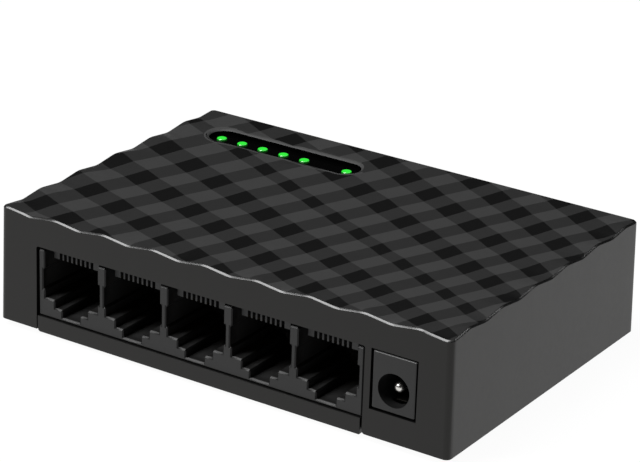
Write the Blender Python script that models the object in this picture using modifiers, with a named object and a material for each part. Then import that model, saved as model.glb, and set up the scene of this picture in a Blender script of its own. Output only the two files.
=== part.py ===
"""A five-port desktop network switch: moulded case, board, ganged sockets, power jack and indicators.

The case is 97.4 mm wide. X runs along the socket side, from left to right as seen facing the sockets,
Y runs from the sockets to the back, and Z is up. The origin is on the desk, under the middle of the case.
"""

import math

import bmesh
import bpy
from mathutils import Matrix, Vector

MM = 0.001

# Case
CASE_WIDTH = 97.4 * MM
CASE_DEPTH = 67.0 * MM
FOOT_PROUD = 0.9 * MM  # how far the feet stand below the base
RIM_Z = FOOT_PROUD + 0.4 * MM  # the cover's lower rim, just above the underside of the base
TOP_Z = RIM_Z + 22.25 * MM  # middle height of the patterned top
SIDE_DRAFT = 0.42 * MM
FRONT_DRAFT = 0.21 * MM
BACK_DRAFT = 0.4 * MM
CORNER_RADIUS = 1.1 * MM
WALL = 1.8 * MM
TOP_WALL = 2.2 * MM
GAP = 0.3 * MM
SEAT = 0.05 * MM  # gap left between a piece and what it rests on

# Pattern of the top: two crossing families of ridges. Column i and row j count the dark facets.
# A cell (i, j) lies at (ORIGIN + i * COLUMN + j * ROW) / (1 + i * COLUMN_TAPER + j * ROW_TAPER).
PATTERN_ORIGIN = Vector((14.48, 5.87)) * MM
PATTERN_COLUMN = Vector((7.495, -3.77)) * MM
PATTERN_ROW = Vector((-3.53, -10.04)) * MM
COLUMN_TAPER = 0.0218
ROW_TAPER = 0.0077
COLUMNS = range(-10, 11)
ROWS = range(-6, 8)
DARK_SHARE = 0.46  # share of each period that slopes down towards the sockets
NARROW_ROW = 1
NARROW_SHARE = 0.27
RIDGE_HEIGHT = 0.26 * MM
RIDGE_FADE = 1.4 * MM  # the ridges die out this far from the outline

# Zigzag of the front, left and right top edges
FRONT_WAVE = 11.1 * MM
SIDE_WAVE = 11.3 * MM
WAVE_HEIGHT = 0.37 * MM
WAVE_REACH = 6.0 * MM
FRONT_PEAK_X = -47.15 * MM
LEFT_PEAK_Y = -CASE_DEPTH / 2

# Base
BASE_FLOOR = 1.2 * MM
BASE_Z = FOOT_PROUD
LIP_LEFT = -39.87 * MM
LIP_RIGHT = 30.85 * MM
LIP_TOP = RIM_Z + 2.8 * MM
LIP_CORNERS = (0.6 * MM, 0.2 * MM)  # at its left and right ends
NOTCH_RIGHT = 31.3 * MM
NOTCH_CORNER = 0.6 * MM
FOOT_RADIUS = 4.0 * MM
FOOT_AT = Vector((39.5, 24.0)) * MM
SCREW_AT = Vector((36.0, 27.9)) * MM

# Circuit board
BOARD_TOP = 4.15 * MM
BOARD_THICK = 1.2 * MM
BOARD_HALF = 45.2 * MM
BOARD_FRONT = -31.2 * MM
BOARD_BACK = 24.6 * MM

# Sockets
PORTS = 5
PORT_PITCH = 13.97 * MM
BLOCK_CENTRE = -4.41 * MM
BLOCK_WIDTH = 70.7 * MM
BLOCK_FRONT = -33.07 * MM
BLOCK_DEPTH = 18.0 * MM
BLOCK_HEIGHT = 13.4 * MM
BLOCK_STEP = 0.35 * MM  # how far the front of the block's top is lower than the rest
CAVITY_DEPTH = 14.0 * MM
CAVITY_HALF = 6.07 * MM
WIRES = 8
WIRE_PITCH = 1.02 * MM
COMB_FRONT = BLOCK_FRONT + 1.7 * MM
COMB_LOW = BOARD_TOP + 11.3 * MM
COMB_THICK = 1.5 * MM
HINGE_Y = COMB_FRONT + 2.0 * MM
HINGE_Z = COMB_LOW - 0.3 * MM
WIRE_SLOPE = math.radians(22.0)
WIRE_LENGTH = 8.0 * MM

# Power jack
JACK_X = 37.26 * MM
JACK_WIDTH = 8.7 * MM
JACK_GAP = 0.35 * MM
JACK_FRONT = -33.32 * MM
JACK_DEPTH = 14.0 * MM
JACK_LOW = 6.78 * MM
JACK_TOP = 17.5 * MM
JACK_AXIS_Z = 11.04 * MM
JACK_BORE = 3.15 * MM
JACK_BORE_DEPTH = 9.5 * MM
PIN_RADIUS = 1.0 * MM
SPRING_Y = JACK_FRONT + 10.6 * MM
SPRING_Z = JACK_AXIS_Z - 3.45 * MM

# Indicators, in a sunk slot with sloping sides
LED_FIRST = -38.35 * MM
LED_PITCH = 4.89 * MM
LED_SLOTS = (0, 1, 2, 3, 4, 6)  # five ports, a blank place, then power
LED_Y = 22.37 * MM
SLOT_RADIUS = 3.2 * MM
SLOT_DEPTH = 1.05 * MM
SLOT_STEP = 0.65 * MM  # the slot's walls are upright up to here
WINDOW_THICK = 0.6 * MM
GUIDE_RADIUS = 1.05 * MM
GUIDE_PROUD = 0.33 * MM

CASE_HEIGHT = TOP_Z - RIM_Z
SLOT_LEFT = LED_FIRST
SLOT_RIGHT = LED_FIRST + LED_PITCH * LED_SLOTS[-1]


def clear_scene():
    for obj in list(bpy.data.objects):
        bpy.data.objects.remove(obj, do_unlink=True)


def new_collection(name):
    collection = bpy.data.collections.new(name)
    bpy.context.scene.collection.children.link(collection)
    return collection


def plastic(name, colour, roughness=0.5, metallic=0.0):
    """A Principled material. colour is linear RGB."""
    material = bpy.data.materials.new(name)
    material.use_nodes = True
    shader = material.node_tree.nodes["Principled BSDF"]
    shader.inputs["Base Color"].default_value = (*colour, 1.0)
    shader.inputs["Roughness"].default_value = roughness
    shader.inputs["Metallic"].default_value = metallic
    return material


def add_object(name, bm, material=None):
    """Makes an object of bm. Without a material it is a cutter, left out of renders."""
    bmesh.ops.recalc_face_normals(bm, faces=bm.faces[:])
    mesh = bpy.data.meshes.new(name)
    bm.to_mesh(mesh)
    bm.free()
    obj = bpy.data.objects.new(name, mesh)
    if material is None:
        CUTTERS.objects.link(obj)
        obj.hide_render = True
        obj.display_type = "WIRE"
    else:
        mesh.materials.append(material)
        SWITCH.objects.link(obj)
    return obj


def add_box(bm, low, high):
    """A box between two corners, from Blender's cube."""
    low, high = Vector(low), Vector(high)
    size = high - low
    matrix = Matrix.Translation((low + high) / 2) @ Matrix.Diagonal((*size, 1.0))
    bmesh.ops.create_cube(bm, size=1.0, matrix=matrix)


def box(name, low, high, material=None, bevel=0.0, segments=1):
    bm = bmesh.new()
    add_box(bm, low, high)
    obj = add_object(name, bm, material)
    if bevel:
        round_edges(obj, bevel, segments)
    return obj


def round_edges(obj, width, segments=2, angle=40.0):
    modifier = obj.modifiers.new("rounded_edges", "BEVEL")
    modifier.width = width
    modifier.segments = segments
    modifier.limit_method = "ANGLE"
    modifier.angle_limit = math.radians(angle)


def add_rod(bm, start, end, radius, sides=16, end_radius=None):
    """A cylinder, or a cone when end_radius is given, between two points."""
    start, end = Vector(start), Vector(end)
    along = end - start
    turn = Vector((0, 0, 1)).rotation_difference(along).to_matrix().to_4x4()
    bmesh.ops.create_cone(
        bm,
        cap_ends=True,
        segments=sides,
        radius1=radius,
        radius2=radius if end_radius is None else end_radius,
        depth=along.length,
        matrix=Matrix.Translation((start + end) / 2) @ turn,
    )


def rod(name, start, end, radius, material=None, sides=16):
    bm = bmesh.new()
    add_rod(bm, start, end, radius, sides)
    obj = add_object(name, bm, material)
    if material:
        smooth(obj)
    return obj


def set_pivot(obj, point):
    """Moves a piece's origin to a point on its joint's axis, and leaves its shape where it is."""
    obj.data.transform(Matrix.Translation(-Vector(point)))
    obj.location = point


def smooth(obj):
    obj.data.shade_smooth()
    obj.data.set_sharp_from_angle(angle=math.radians(35))


AXES = {
    "X": Matrix(((0, 0, 1, 0), (1, 0, 0, 0), (0, 1, 0, 0), (0, 0, 0, 1))),
    "Y": Matrix(((1, 0, 0, 0), (0, 0, 1, 0), (0, 1, 0, 0), (0, 0, 0, 1))),
    "Z": Matrix.Identity(4),
}


def add_prism(bm, outline, axis, start, end):
    """A flat outline drawn as a 2D curve and extruded along an axis from start to end.

    The outline's points are (y, z) for X, (x, z) for Y and (x, y) for Z.
    """
    curve = bpy.data.curves.new("outline", "CURVE")
    curve.dimensions = "2D"
    curve.fill_mode = "BOTH"
    curve.extrude = (end - start) / 2
    spline = curve.splines.new("POLY")
    spline.points.add(len(outline) - 1)
    for point, (u, v) in zip(spline.points, outline):
        point.co = (u, v, 0.0, 1.0)
    spline.use_cyclic_u = True
    guide = bpy.data.objects.new("outline", curve)
    CUTTERS.objects.link(guide)
    bpy.context.view_layer.update()
    mesh = bpy.data.meshes.new_from_object(guide.evaluated_get(bpy.context.evaluated_depsgraph_get()))
    bpy.data.objects.remove(guide, do_unlink=True)
    new = bmesh.new()
    new.from_mesh(mesh)
    bmesh.ops.remove_doubles(new, verts=new.verts[:], dist=0.001 * MM)
    for sign in (-1, 1):
        cap = [face for face in new.faces if all(vert.co.z * sign > 0 for vert in face.verts)]
        bmesh.ops.dissolve_faces(new, faces=cap)
    place = AXES[axis] @ Matrix.Translation((0.0, 0.0, (start + end) / 2))
    bmesh.ops.transform(new, matrix=place, verts=new.verts[:])
    bmesh.ops.recalc_face_normals(new, faces=new.faces[:])
    new.to_mesh(mesh)
    new.free()
    bm.from_mesh(mesh)
    bpy.data.meshes.remove(mesh)


def prism(name, outline, axis, start, end, material=None):
    bm = bmesh.new()
    add_prism(bm, outline, axis, start, end)
    return add_object(name, bm, material)


def pill(left, right, y, radius, steps=10):
    """The outline of a slot with round ends, from the centre of one end to that of the other."""
    points = []
    for centre, first in ((right, -90.0), (left, 90.0)):
        for step in range(steps + 1):
            angle = math.radians(first + 180.0 * step / steps)
            points.append((centre + radius * math.cos(angle), y + radius * math.sin(angle)))
    return points


def boolean(obj, other, operation="DIFFERENCE"):
    modifier = obj.modifiers.new(other.name, "BOOLEAN")
    modifier.operation = operation
    modifier.object = other
    modifier.solver = "EXACT"


# ---- case ----


def case_block(name, z_low, z_high, inset, material=None):
    """The drafted outline of the case, inset by some wall thickness, between two heights."""
    bm = bmesh.new()
    add_box(bm, (-0.5, -0.5, 0.0), (0.5, 0.5, 1.0))
    for vert in bm.verts:
        z = z_low if vert.co.z < 0.5 else z_high
        rise = (z - RIM_Z) / CASE_HEIGHT
        side = CASE_WIDTH / 2 - SIDE_DRAFT * rise - inset
        front = -CASE_DEPTH / 2 + FRONT_DRAFT * rise + inset
        back = CASE_DEPTH / 2 - BACK_DRAFT * rise - inset
        vert.co = (math.copysign(side, vert.co.x), front if vert.co.y < 0 else back, z)
    upright = [edge for edge in bm.edges if abs(edge.verts[0].co.z - edge.verts[1].co.z) > MM]
    bmesh.ops.bevel(
        bm,
        geom=upright,
        offset=max(CORNER_RADIUS - inset, 0.5 * MM),
        segments=4,
        profile=0.5,
        affect="EDGES",
    )
    return add_object(name, bm, material)


def pattern_point(i, j):
    """Where column i meets row j, in plan."""
    spread = 1.0 + i * COLUMN_TAPER + j * ROW_TAPER
    return (PATTERN_ORIGIN + PATTERN_COLUMN * i + PATTERN_ROW * j) / spread


def pattern_count(x, y):
    """The column and row of a point in plan: pattern_point the other way round."""
    column = Vector((PATTERN_COLUMN.x - x * COLUMN_TAPER, PATTERN_COLUMN.y - y * COLUMN_TAPER))
    row = Vector((PATTERN_ROW.x - x * ROW_TAPER, PATTERN_ROW.y - y * ROW_TAPER))
    reach = Vector((x, y)) - PATTERN_ORIGIN
    area = column.x * row.y - column.y * row.x
    return (reach.x * row.y - reach.y * row.x) / area, (column.x * reach.y - column.y * reach.x) / area


def share_of(row):
    return NARROW_SHARE if row == NARROW_ROW else DARK_SHARE


def ridge(count, share):
    """Height from -0.5 to 0.5 across one period: it falls over the dark share and rises over the rest."""
    phase = count - round(count)
    half = share / 2
    if abs(phase) <= half:
        return -phase / share
    return math.copysign((0.5 - abs(phase)) / (1.0 - share), -phase)


def zigzag(distance, pitch):
    """A triangle wave from -1 to 1 that peaks at a distance of 0."""
    phase = distance / pitch
    return 1.0 - 4.0 * abs(phase - math.floor(phase + 0.5))


def fade(distance, reach):
    """1 at the edge, falling to 0 at the reach."""
    return min(max(1.0 - distance / reach, 0.0), 1.0)


def top_height(x, y):
    side = CASE_WIDTH / 2 - SIDE_DRAFT
    front = y + CASE_DEPTH / 2 - FRONT_DRAFT
    back = CASE_DEPTH / 2 - BACK_DRAFT - y
    left, right = x + side, side - x
    column, row = pattern_count(x, y)
    ridges = ridge(column, DARK_SHARE) + ridge(row, share_of(round(row)))
    inside = 1.0 - max(fade(distance, RIDGE_FADE) for distance in (front, back, left, right))
    waves = (
        (fade(front, WAVE_REACH), zigzag(x - FRONT_PEAK_X, FRONT_WAVE)),
        (fade(left, WAVE_REACH), zigzag(y - LEFT_PEAK_Y, SIDE_WAVE)),
        (fade(right, WAVE_REACH), -zigzag(y - LEFT_PEAK_Y, SIDE_WAVE)),
    )
    weight = sum(share for share, _ in waves)
    wave = sum(share * height for share, height in waves) / max(weight, 1.0)
    settle = 1.0 - fade(back, WAVE_REACH)
    return TOP_Z + RIDGE_HEIGHT * ridges * inside + WAVE_HEIGHT * wave * settle


def slice_sheet(bm, point, normal, keep=lambda centre: True):
    """Cuts the sheet's faces along a line in plan."""
    faces = [face for face in bm.faces if keep(face.calc_center_median())]
    edges = {edge for face in faces for edge in face.edges}
    verts = {vert for face in faces for vert in face.verts}
    bmesh.ops.bisect_plane(
        bm,
        geom=[*verts, *edges, *faces],
        dist=0.01 * MM,
        plane_co=(point[0], point[1], 0.0),
        plane_no=(normal[0], normal[1], 0.0),
    )


def relief_cutter():
    """What is above the patterned top: a sheet sliced along every ridge, set to height and extruded up."""
    margin = 1.0 * MM
    width, depth = CASE_WIDTH / 2 + margin, CASE_DEPTH / 2 + margin
    bm = bmesh.new()
    size = Matrix.Diagonal((width, depth, 1.0, 1.0))
    bmesh.ops.create_grid(bm, x_segments=1, y_segments=1, size=1.0, matrix=size)
    for column in COLUMNS:
        for edge in (-DARK_SHARE / 2, DARK_SHARE / 2):
            a, b = pattern_point(column + edge, -3.0), pattern_point(column + edge, 3.0)
            slice_sheet(bm, a, (a.y - b.y, b.x - a.x))
    for row in ROWS:
        for edge in (-share_of(row) / 2, share_of(row) / 2):
            a, b = pattern_point(-3.0, row + edge), pattern_point(3.0, row + edge)
            slice_sheet(bm, a, (a.y - b.y, b.x - a.x))
    side = CASE_WIDTH / 2 - SIDE_DRAFT
    front = -CASE_DEPTH / 2 + FRONT_DRAFT
    back = CASE_DEPTH / 2 - BACK_DRAFT
    for inset in (RIDGE_FADE, WAVE_REACH):
        for x in (-side + inset, side - inset):
            slice_sheet(bm, (x, 0.0), (1.0, 0.0))
        for y in (front + inset, back - inset):
            slice_sheet(bm, (0.0, y), (0.0, 1.0))
    for step in range(18):
        x = FRONT_PEAK_X + step * FRONT_WAVE / 2
        slice_sheet(bm, (x, 0.0), (1.0, 0.0), lambda centre: centre.y < front + WAVE_REACH)
    for step in range(12):
        y = LEFT_PEAK_Y + step * SIDE_WAVE / 2
        slice_sheet(bm, (0.0, y), (0.0, 1.0), lambda centre: abs(centre.x) > side - WAVE_REACH)
    bmesh.ops.triangulate(bm, faces=bm.faces[:])
    for vert in bm.verts:
        vert.co.z = top_height(vert.co.x, vert.co.y)
    raised = bmesh.ops.extrude_face_region(bm, geom=bm.faces[:])["geom"]
    for item in raised:
        if isinstance(item, bmesh.types.BMVert):
            item.co.z = TOP_Z + 4.0 * MM
    return add_object("cut_relief", bm)


def slot_cutter(outline, floor, top):
    """The sunk slot: the outline at the floor, spreading by as much as it rises."""
    cutter = prism("cut_slot", outline, "Z", floor, top)
    for vert in cutter.data.vertices:
        if vert.co.z > floor + SEAT:
            middle = Vector((min(max(vert.co.x, SLOT_LEFT), SLOT_RIGHT), LED_Y))
            outward = (vert.co.xy - middle).normalized() * (top - floor)
            vert.co.x += outward.x
            vert.co.y += outward.y
    return cutter


def screw_places():
    return [(side * SCREW_AT.x, SCREW_AT.y) for side in (-1, 1)]


def led_places():
    return [LED_FIRST + LED_PITCH * slot for slot in LED_SLOTS]


def build_cover():
    cover = case_block("top_cover", RIM_Z, TOP_Z + 1.5 * MM, 0.0, BLACK_ABS)
    boolean(cover, case_block("cut_inside", RIM_Z - MM, TOP_Z - TOP_WALL, WALL))
    boolean(cover, relief_cutter())
    front_hole = bmesh.new()
    y_out, y_in = -CASE_DEPTH / 2 - MM, -CASE_DEPTH / 2 + WALL + MM
    notch_top = BOARD_TOP + BLOCK_HEIGHT + 0.25 * MM
    add_box(front_hole, (LIP_LEFT - GAP, y_out, RIM_Z - MM), (NOTCH_RIGHT, y_in, notch_top))
    jack_half = JACK_WIDTH / 2 + JACK_GAP
    add_box(
        front_hole,
        (JACK_X - jack_half, y_out, JACK_LOW - JACK_GAP),
        (JACK_X + jack_half, y_in, JACK_TOP + JACK_GAP),
    )
    boolean(cover, add_object("cut_front_openings", front_hole))
    corner = [(NOTCH_RIGHT - MM, RIM_Z - MM), (NOTCH_RIGHT + NOTCH_CORNER, RIM_Z - MM)]
    for step in range(4):
        angle = math.radians(30 * step)
        x = NOTCH_RIGHT + NOTCH_CORNER * (1 - math.sin(angle))
        corner.append((x, RIM_Z + NOTCH_CORNER * (1 - math.cos(angle))))
    corner.append((NOTCH_RIGHT - MM, RIM_Z + NOTCH_CORNER))
    boolean(cover, prism("cut_notch_corner", corner, "Y", y_out, y_in))
    floor = TOP_Z - SLOT_DEPTH
    outline = pill(SLOT_LEFT, SLOT_RIGHT, LED_Y, SLOT_RADIUS)
    boolean(cover, prism("cut_window_seat", outline, "Z", floor - WINDOW_THICK, floor + SLOT_STEP + SEAT))
    outline = pill(SLOT_LEFT, SLOT_RIGHT, LED_Y, SLOT_RADIUS + SEAT)
    boolean(cover, slot_cutter(outline, floor + SLOT_STEP, TOP_Z + 2 * MM))
    holes = bmesh.new()
    for x in led_places():
        add_rod(holes, (x, LED_Y, TOP_Z - 4 * MM), (x, LED_Y, TOP_Z), GUIDE_RADIUS + 0.25 * MM)
    boolean(cover, add_object("cut_guide_holes", holes))
    posts = bmesh.new()
    pilots = bmesh.new()
    for x, y in screw_places():
        add_rod(posts, (x, y, 4.4 * MM), (x, y, TOP_Z - TOP_WALL + GAP), 2.5 * MM)
        add_rod(pilots, (x, y, 3.0 * MM), (x, y, 15.0 * MM), 1.35 * MM, 12)
    boolean(cover, add_object("join_screw_posts", posts), "UNION")
    boolean(cover, add_object("cut_pilots", pilots))


def build_base():
    base = case_block("base_plate", BASE_Z, BASE_Z + BASE_FLOOR, WALL + GAP, BLACK_ABS)
    lip = bmesh.new()
    front = -CASE_DEPTH / 2 + 0.03 * MM
    add_box(lip, (LIP_LEFT, front, BASE_Z), (LIP_RIGHT, front + 1.6 * MM, LIP_TOP))
    level = [edge for edge in lip.edges if edge.verts[0].co.xz == edge.verts[1].co.xz]
    for side, width in zip((-1, 1), LIP_CORNERS):
        low = [edge for edge in level if edge.is_valid and edge.verts[0].co.z < LIP_TOP]
        corner = [edge for edge in low if edge.verts[0].co.x * side > 0]
        bmesh.ops.bevel(lip, geom=corner, offset=width, segments=3, profile=0.5, affect="EDGES")
    boolean(base, add_object("join_front_lip", lip), "UNION")
    bridge = box(
        "join_lip_bridge",
        (LIP_LEFT + LIP_CORNERS[0], front + 0.8 * MM, BASE_Z),
        (LIP_RIGHT - LIP_CORNERS[1], -CASE_DEPTH / 2 + WALL + 2 * MM, BASE_Z + BASE_FLOOR - 0.1 * MM),
    )
    boolean(base, bridge, "UNION")
    bosses = bmesh.new()
    for x, y in screw_places():
        add_rod(bosses, (x, y, BASE_Z + 0.4 * MM), (x, y, 4.1 * MM), 2.7 * MM)
    boolean(base, add_object("join_screw_bosses", bosses), "UNION")
    pads = bmesh.new()
    for x in (-42.0 * MM, 42.0 * MM):
        for y in (-10.0 * MM, 20.5 * MM):
            add_rod(pads, (x, y, BASE_Z + 0.4 * MM), (x, y, BOARD_TOP - BOARD_THICK - SEAT), 2.0 * MM, 12)
    boolean(base, add_object("join_board_pads", pads), "UNION")
    pegs = bmesh.new()
    for x, y in peg_places():
        add_rod(pegs, (x, y, BASE_Z + 0.4 * MM), (x, y, BOARD_TOP + 0.6 * MM), 1.0 * MM, 12)
    boolean(base, add_object("join_board_pegs", pegs), "UNION")
    heads = bmesh.new()
    shanks = bmesh.new()
    for x, y in screw_places():
        add_rod(heads, (x, y, BASE_Z - MM), (x, y, 3.0 * MM), 2.2 * MM)
        add_rod(shanks, (x, y, 2.5 * MM), (x, y, 5.0 * MM), 1.35 * MM, 12)
    boolean(base, add_object("cut_screw_heads", heads))
    boolean(base, add_object("cut_screw_shanks", shanks))
    sunk = bmesh.new()
    for x, y in foot_places():
        add_rod(sunk, (x, y, BASE_Z - MM), (x, y, BASE_Z + 0.4 * MM), FOOT_RADIUS + 0.2 * MM, 24)
    boolean(base, add_object("cut_foot_seats", sunk))
    vents = bmesh.new()
    for bank in (-1, 1):
        for slot in range(6):
            x = bank * 21.0 * MM + (slot - 2.5) * 3.6 * MM
            low = (x - 0.8 * MM, 5.0 * MM, BASE_Z - MM)
            add_box(vents, low, (x + 0.8 * MM, 19.0 * MM, BASE_Z + 3 * MM))
    boolean(base, add_object("cut_vents", vents))
    low, high = label_corners(0.1 * MM)
    boolean(base, box("cut_label_seat", (*low, BASE_Z - MM), (*high, BASE_Z + 0.25 * MM)))


def peg_places():
    return [(-33.0 * MM, 12.0 * MM), (37.0 * MM, 12.0 * MM)]


def foot_places():
    return [(sx * FOOT_AT.x, sy * FOOT_AT.y - 2.0 * MM) for sx in (-1, 1) for sy in (-1, 1)]


def label_corners(grow):
    return (-22.0 * MM - grow, -20.0 * MM - grow), (22.0 * MM + grow, -4.0 * MM + grow)


def build_base_fittings():
    for number, (x, y) in enumerate(foot_places(), 1):
        top = (x, y, BASE_Z + 0.35 * MM)
        foot = rod(f"rubber_foot_{number}", (x, y, 0.0), top, FOOT_RADIUS, RUBBER, 24)
        round_edges(foot, 0.25 * MM, 1)
    for number, (x, y) in enumerate(screw_places(), 1):
        screw = rod(f"case_screw_{number}", (x, y, 1.4 * MM), (x, y, 2.7 * MM), 1.95 * MM, STEEL, 20)
        shank = bmesh.new()
        add_rod(shank, (x, y, 2.4 * MM), (x, y, 12.0 * MM), 1.1 * MM, 12, 0.7 * MM)
        boolean(screw, add_object(f"join_shank_{number}", shank), "UNION")
        cross = bmesh.new()
        add_prism(cross, cross_outline(x, y, 1.25 * MM, 0.28 * MM), "Z", 1.0 * MM, 2.1 * MM)
        boolean(screw, add_object(f"cut_cross_{number}", cross))
    low, high = label_corners(0.0)
    box("rating_label", (*low, BASE_Z), (*high, BASE_Z + 0.2 * MM), LABEL)


def cross_outline(x, y, reach, half):
    corner = ((reach, half), (half, half), (half, reach))
    points = []
    for turn in range(4):
        for u, v in corner:
            for _ in range(turn):
                u, v = -v, u
            points.append((x + u, y + v))
    return points


def build_indicators():
    top = TOP_Z - SLOT_DEPTH
    outline = pill(SLOT_LEFT, SLOT_RIGHT, LED_Y, SLOT_RADIUS - 0.15 * MM)
    window = prism("led_window", outline, "Z", top - WINDOW_THICK + SEAT, top, WINDOW_BLACK)
    holes = bmesh.new()
    for x in led_places():
        add_rod(holes, (x, LED_Y, top - 2 * MM), (x, LED_Y, top + MM), GUIDE_RADIUS + 0.15 * MM)
    boolean(window, add_object("cut_window_holes", holes))
    guide = box(
        "light_guide",
        (SLOT_LEFT - 2.2 * MM, LED_Y - 1.1 * MM, 16.4 * MM),
        (SLOT_RIGHT + 2.2 * MM, LED_Y + 1.1 * MM, 18.0 * MM),
        CLEAR,
    )
    posts = bmesh.new()
    for x in led_places():
        add_rod(posts, (x, LED_Y, 5.2 * MM), (x, LED_Y, top + GUIDE_PROUD), GUIDE_RADIUS)
    boolean(guide, add_object("join_guide_posts", posts), "UNION")
    for number, x in enumerate(led_places(), 1):
        low = (x - 0.8 * MM, LED_Y - 0.4 * MM, BOARD_TOP + SEAT)
        high = (x + 0.8 * MM, LED_Y + 0.4 * MM, BOARD_TOP + 0.75 * MM)
        box(f"led_{number}", low, high, LED_BODY, 0.1 * MM)


# ---- sockets ----


def port_centres():
    middle = (PORTS - 1) / 2
    return [BLOCK_CENTRE + (port - middle) * PORT_PITCH for port in range(PORTS)]


def cavity_outline(x):
    """The mouth of one socket: latch slot and two steps below, side reliefs halfway up.

    right holds millimetres from the middle of the socket and above the board.
    """
    right = (
        (2.05, 0.6),
        (2.05, 2.1),
        (3.8, 2.1),
        (3.8, 3.65),
        (CAVITY_HALF / MM, 3.65),
        (CAVITY_HALF / MM, 5.4),
        (6.5, 5.4),
        (6.5, 9.4),
        (CAVITY_HALF / MM, 9.4),
        (CAVITY_HALF / MM, 12.9),
    )
    points = [(x + u * MM, BOARD_TOP + v * MM) for u, v in right]
    return points + [(2 * x - u, v) for u, v in reversed(points)]


def build_sockets():
    left = BLOCK_CENTRE - BLOCK_WIDTH / 2
    housing = box(
        "rj45_housing",
        (left, BLOCK_FRONT, BOARD_TOP + SEAT),
        (left + BLOCK_WIDTH, BLOCK_FRONT + BLOCK_DEPTH, BOARD_TOP + BLOCK_HEIGHT),
        SOCKET_PBT,
    )
    cavities = bmesh.new()
    for x in port_centres():
        add_prism(cavities, cavity_outline(x), "Y", BLOCK_FRONT - MM, BLOCK_FRONT + CAVITY_DEPTH)
    boolean(housing, add_object("cut_cavities", cavities))
    front = BLOCK_FRONT - MM
    block_top = BOARD_TOP + BLOCK_HEIGHT
    mouths = bmesh.new()
    for x in port_centres():
        low = (x - CAVITY_HALF, front, COMB_LOW)
        add_box(mouths, low, (x + CAVITY_HALF, COMB_FRONT, block_top + MM))
    boolean(housing, add_object("open_mouths_upwards", mouths))
    low = (left - MM, front, block_top - BLOCK_STEP)
    high = (left + BLOCK_WIDTH + MM, COMB_FRONT - 0.3 * MM, block_top + MM)
    boolean(housing, box("cut_front_step", low, high))
    for number, x in enumerate(port_centres(), 1):
        build_comb(number, x)
        build_contacts(number, x)


def wire_places(x):
    return [x + (wire - (WIRES - 1) / 2) * WIRE_PITCH for wire in range(WIRES)]


def build_comb(number, x):
    """The plate that guides a socket's eight wires, notched along its front edge."""
    comb = box(
        f"port_{number}_comb",
        (x - 5.2 * MM, COMB_FRONT, COMB_LOW),
        (x + 5.2 * MM, BLOCK_FRONT + CAVITY_DEPTH - 0.1 * MM, COMB_LOW + COMB_THICK),
        SOCKET_PBT,
    )
    notches = bmesh.new()
    for wire in wire_places(x):
        low = (wire - 0.29 * MM, COMB_FRONT - MM, COMB_LOW - MM)
        high = (wire + 0.29 * MM, COMB_FRONT + 0.9 * MM, COMB_LOW + COMB_THICK + MM)
        add_box(notches, low, high)
    boolean(comb, add_object(f"cut_comb_{number}", notches))


def build_contacts(number, x):
    """Eight sprung wires that slope back from the comb, held by a bar on their shared hinge line."""
    first, last = wire_places(x)[0], wire_places(x)[-1]
    start, end = (first - 0.5 * MM, HINGE_Y, HINGE_Z), (last + 0.5 * MM, HINGE_Y, HINGE_Z)
    contacts = rod(f"port_{number}_contacts", start, end, 0.24 * MM, CONTACT, 8)
    away = Vector((math.cos(WIRE_SLOPE), -math.sin(WIRE_SLOPE)))
    across = Vector((math.sin(WIRE_SLOPE), math.cos(WIRE_SLOPE))) * 0.15 * MM
    hinge = Vector((HINGE_Y, HINGE_Z))
    knee = hinge + away * WIRE_LENGTH
    tip = knee + Vector((1.0, 0.1)) * MM
    lift = Vector((0.0, 0.15 * MM))
    outline = [hinge - across, knee - across, tip - lift, tip + lift, knee + across, hinge + across]
    wires = bmesh.new()
    for wire in wire_places(x):
        add_prism(wires, outline, "X", wire - 0.2 * MM, wire + 0.2 * MM)
    set_pivot(contacts, (x, HINGE_Y, HINGE_Z))
    boolean(contacts, add_object(f"join_wires_{number}", wires), "UNION")


# ---- power jack ----


def build_jack():
    housing = box(
        "dc_jack_housing",
        (JACK_X - JACK_WIDTH / 2, JACK_FRONT, JACK_LOW),
        (JACK_X + JACK_WIDTH / 2, JACK_FRONT + JACK_DEPTH, JACK_TOP),
        SOCKET_PBT,
        0.3 * MM,
        2,
    )
    plinth = box(
        "join_jack_plinth",
        (JACK_X - 3.9 * MM, JACK_FRONT + 2.6 * MM, BOARD_TOP + SEAT),
        (JACK_X + 3.9 * MM, JACK_FRONT + JACK_DEPTH - 0.6 * MM, JACK_LOW + MM),
    )
    boolean(housing, plinth, "UNION")
    bore_end = JACK_FRONT + JACK_BORE_DEPTH
    bore = rod("cut_bore", axis_point(JACK_FRONT - MM), axis_point(bore_end), JACK_BORE, None, 32)
    boolean(housing, bore)
    pin_hole = rod("cut_pin_hole", axis_point(bore_end - MM), axis_point(0.0), PIN_RADIUS + GAP, None, 16)
    boolean(housing, pin_hole)
    channel = box(
        "cut_spring_channel",
        (JACK_X - 1.6 * MM, JACK_FRONT + 2.2 * MM, SPRING_Z - 0.5 * MM),
        (JACK_X + 1.6 * MM, SPRING_Y + 1.2 * MM, SPRING_Z + 1.95 * MM),
    )
    boolean(housing, channel)
    back = JACK_FRONT + JACK_DEPTH
    pin_start, pin_end = axis_point(JACK_FRONT + 1.2 * MM), axis_point(back + 0.6 * MM)
    pin = rod("dc_jack_pin", pin_start, pin_end, PIN_RADIUS, NICKEL, 16)
    round_edges(pin, 0.9 * PIN_RADIUS, 5)
    blade = box(
        "join_pin_blade",
        (JACK_X - 1.25 * MM, back + 0.2 * MM, BOARD_TOP + SEAT),
        (JACK_X + 1.25 * MM, back + 0.7 * MM, JACK_AXIS_Z + 1.3 * MM),
    )
    boolean(pin, blade, "UNION")
    build_jack_spring()
    low = (JACK_X + JACK_WIDTH / 2 + 0.1 * MM, JACK_FRONT + 6.0 * MM, BOARD_TOP + SEAT)
    high = (JACK_X + JACK_WIDTH / 2 + 0.5 * MM, JACK_FRONT + 8.4 * MM, JACK_LOW + 3.05 * MM)
    box("dc_jack_terminal", low, high, NICKEL)


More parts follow.
